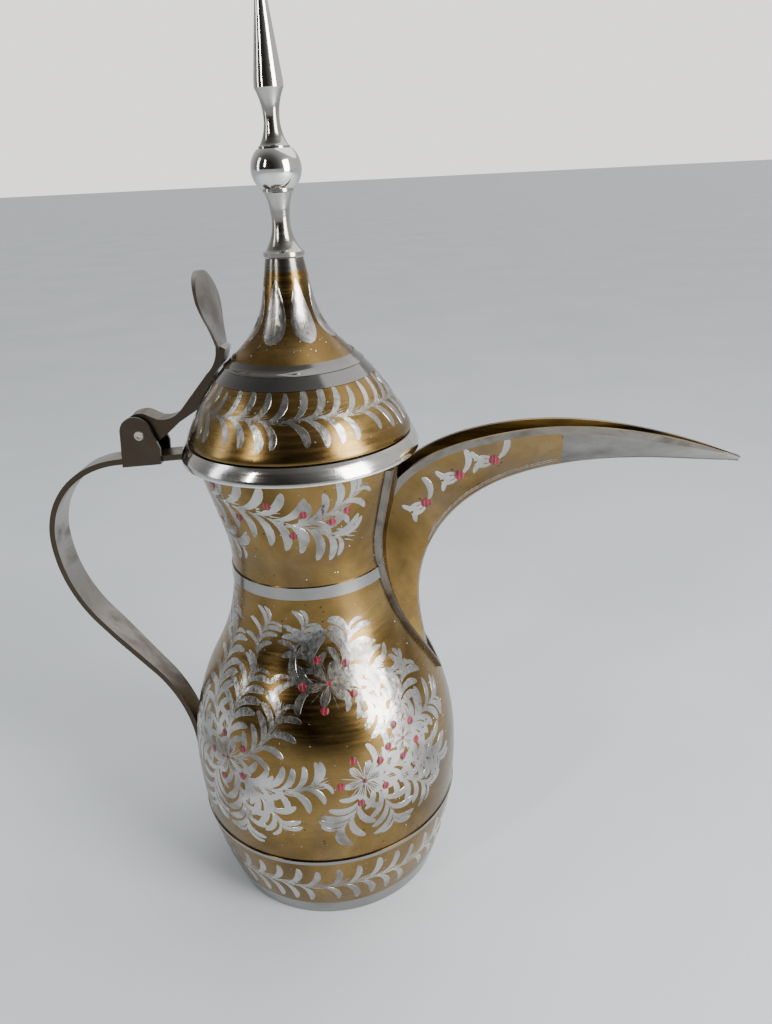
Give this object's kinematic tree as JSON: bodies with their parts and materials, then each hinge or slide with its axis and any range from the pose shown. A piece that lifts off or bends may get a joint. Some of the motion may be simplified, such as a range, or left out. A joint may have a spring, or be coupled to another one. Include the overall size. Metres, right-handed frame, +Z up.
{
  "type": "coffee pot",
  "caption": "Dallah coffee pot: waisted round body, long open beak spout, strap handle and a hinged pointed lid with a thumb leaf.",
  "frame": {"origin": "on the pot's axis, in the plane the foot stands on", "axes": "+Z up the pot's axis, +X towards the spout's tip, the handle on -X"},
  "size_m": [0.2594, 0.1086, 0.3386],
  "materials": {
    "decorated_brass": "gold-brown lacquer over plated brass, with silver leaf and flower figures cut through and small red dots",
    "plain_plate": "polished nickel plate, lightly worn",
    "spout_plate": "worn plated brass, gold panel near the root, bare and brushed towards the tip",
    "spout_trim": "dull plated strip with soldered edges",
    "handle_metal": "worn satin plate, brownish at the edges",
    "rivets": "hammered heads, tarnished",
    "finial_chrome": "turned and polished plate, tarnished in the hollows",
    "tinned_inside": "tinned, dull"
  },
  "bodies": {
    "pot": {"bowl": "decorated_brass", "neck": "decorated_brass", "waist_band": "plain_plate", "base_plate": "tinned_inside", "foot_ring": "plain_plate", "belly_ring": "plain_plate", "mouth_ring": "plain_plate", "spout_left_cheek": "spout_plate", "spout_right_cheek": "spout_plate", "spout_left_hem": "spout_trim", "spout_right_hem": "spout_trim", "spout_keel_strip": "spout_trim", "spout_flange": "spout_plate", "spout_bead": "spout_trim", "handle_strap": "handle_metal", "handle_foot_rivets": "rivets", "hinge_bracket": "handle_metal", "bracket_rivets": "rivets", "hinge_pin": "rivets"},
    "lid": {"lid_dome": "decorated_brass", "lid_band": "plain_plate", "lid_neck": "decorated_brass", "lid_sleeve": "tinned_inside", "lid_lever": "handle_metal", "finial_lower_stem": "finial_chrome", "finial_ball": "finial_chrome", "finial_upper_stem": "finial_chrome", "finial_spire": "finial_chrome", "finial_rod": "tinned_inside", "finial_washer": "tinned_inside", "finial_nut": "tinned_inside"}
  },
  "joints": [
    {"name": "lid_hinge", "type": "hinge", "parent": "pot", "child": "lid", "pos_m": [-0.059, 0, 0.1913], "axis": [0, -1, 0], "range_deg": [0, 161]}
  ]
}
